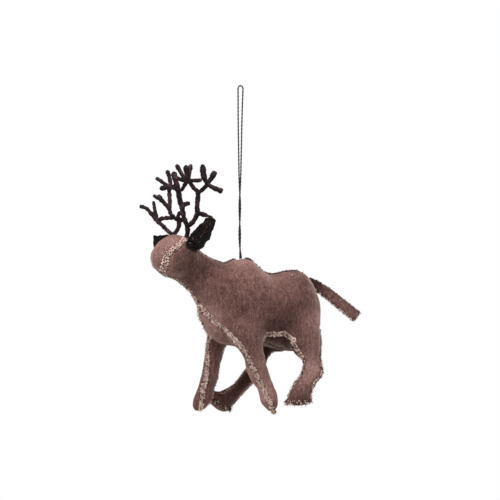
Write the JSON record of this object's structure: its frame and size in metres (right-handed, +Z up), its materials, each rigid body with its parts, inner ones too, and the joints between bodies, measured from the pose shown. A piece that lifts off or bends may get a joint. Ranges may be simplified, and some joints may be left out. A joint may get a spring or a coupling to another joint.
{
  "type": "velvet reindeer ornament",
  "caption": "Small stuffed velvet reindeer with wrapped-wire antlers, raw seam edges and a flat tail, hanging from a thin doubled cord.",
  "frame": {"origin": "inside top of the hanging cord's loop, where a hook or twig carries it", "axes": "+Z up along the cord, -X towards the reindeer's head, -Y towards its left side"},
  "size_m": [0.1504, 0.0541, 0.2185],
  "materials": {
    "velvet": "matte",
    "raw_edge": "matte",
    "ear_velvet": "matte",
    "bead": "gloss",
    "wrapped_wire": "matte",
    "wrapped_twig": "matte",
    "cord_thread": "matte"
  },
  "bodies": {
    "cord": {"hanging_cord": "cord_thread"},
    "knot": {"cord_knot": "cord_thread"},
    "stitch": {"anchor_stitch": "raw_edge"},
    "reindeer": {"torso": "velvet", "neck": "velvet", "head": "velvet", "front_left_leg": "velvet", "front_right_leg": "velvet", "rear_left_thigh": "velvet", "rear_right_thigh": "velvet", "rear_left_shank": "velvet", "rear_right_shank": "velvet", "back_seam": "raw_edge", "left_head_seam": "raw_edge", "right_head_seam": "raw_edge", "left_chest_seam": "raw_edge", "right_chest_seam": "raw_edge", "left_leg_seam": "raw_edge", "right_leg_seam": "raw_edge", "left_belly_seam": "raw_edge", "right_belly_seam": "raw_edge", "left_eye": "bead", "right_eye": "bead", "left_antler_beam": "wrapped_wire", "left_antler_rear_fork": "wrapped_wire", "right_antler_beam": "wrapped_wire", "right_antler_front_fork": "wrapped_wire", "left_antler_rear_crown": "wrapped_twig", "left_antler_front_crown": "wrapped_twig", "right_antler_mid_crown": "wrapped_twig", "right_antler_top_crown": "wrapped_twig"},
    "tail": {"tail": "velvet"},
    "left_ear": {"left_ear": "ear_velvet"},
    "right_ear": {"right_ear": "ear_velvet"}
  },
  "joints": [
    {"name": "cord_twist", "type": "hinge", "parent": "cord", "child": "knot", "pos_m": [0, 0, -0.1168], "axis": [0, 0, 1], "range_deg": [-180, 180]},
    {"name": "body_rock", "type": "hinge", "parent": "knot", "child": "stitch", "pos_m": [0, 0, -0.1168], "axis": [0, 1, 0], "range_deg": [-20, 12]},
    {"name": "body_roll", "type": "hinge", "parent": "stitch", "child": "reindeer", "pos_m": [0, 0, -0.1168], "axis": [1, 0, 0], "range_deg": [-15, 15]},
    {"name": "tail_swing", "type": "hinge", "parent": "reindeer", "child": "tail", "pos_m": [0.05122, 0, -0.13191], "axis": [-0.458, 0, 0.889], "range_deg": [-35, 35], "stiffness_Nm_per_rad": 0.0005},
    {"name": "left_ear_fold", "type": "hinge", "parent": "reindeer", "child": "left_ear", "pos_m": [-0.03681, -0.01072, -0.10525], "axis": [0.6303, -0.0474, -0.7749], "range_deg": [-8, 45], "stiffness_Nm_per_rad": 0.0005},
    {"name": "right_ear_fold", "type": "hinge", "parent": "reindeer", "child": "right_ear", "pos_m": [-0.04093, 0.00867, -0.10525], "axis": [-0.02, -0.5197, 0.8541], "range_deg": [-10, 10], "stiffness_Nm_per_rad": 0.0005}
  ]
}
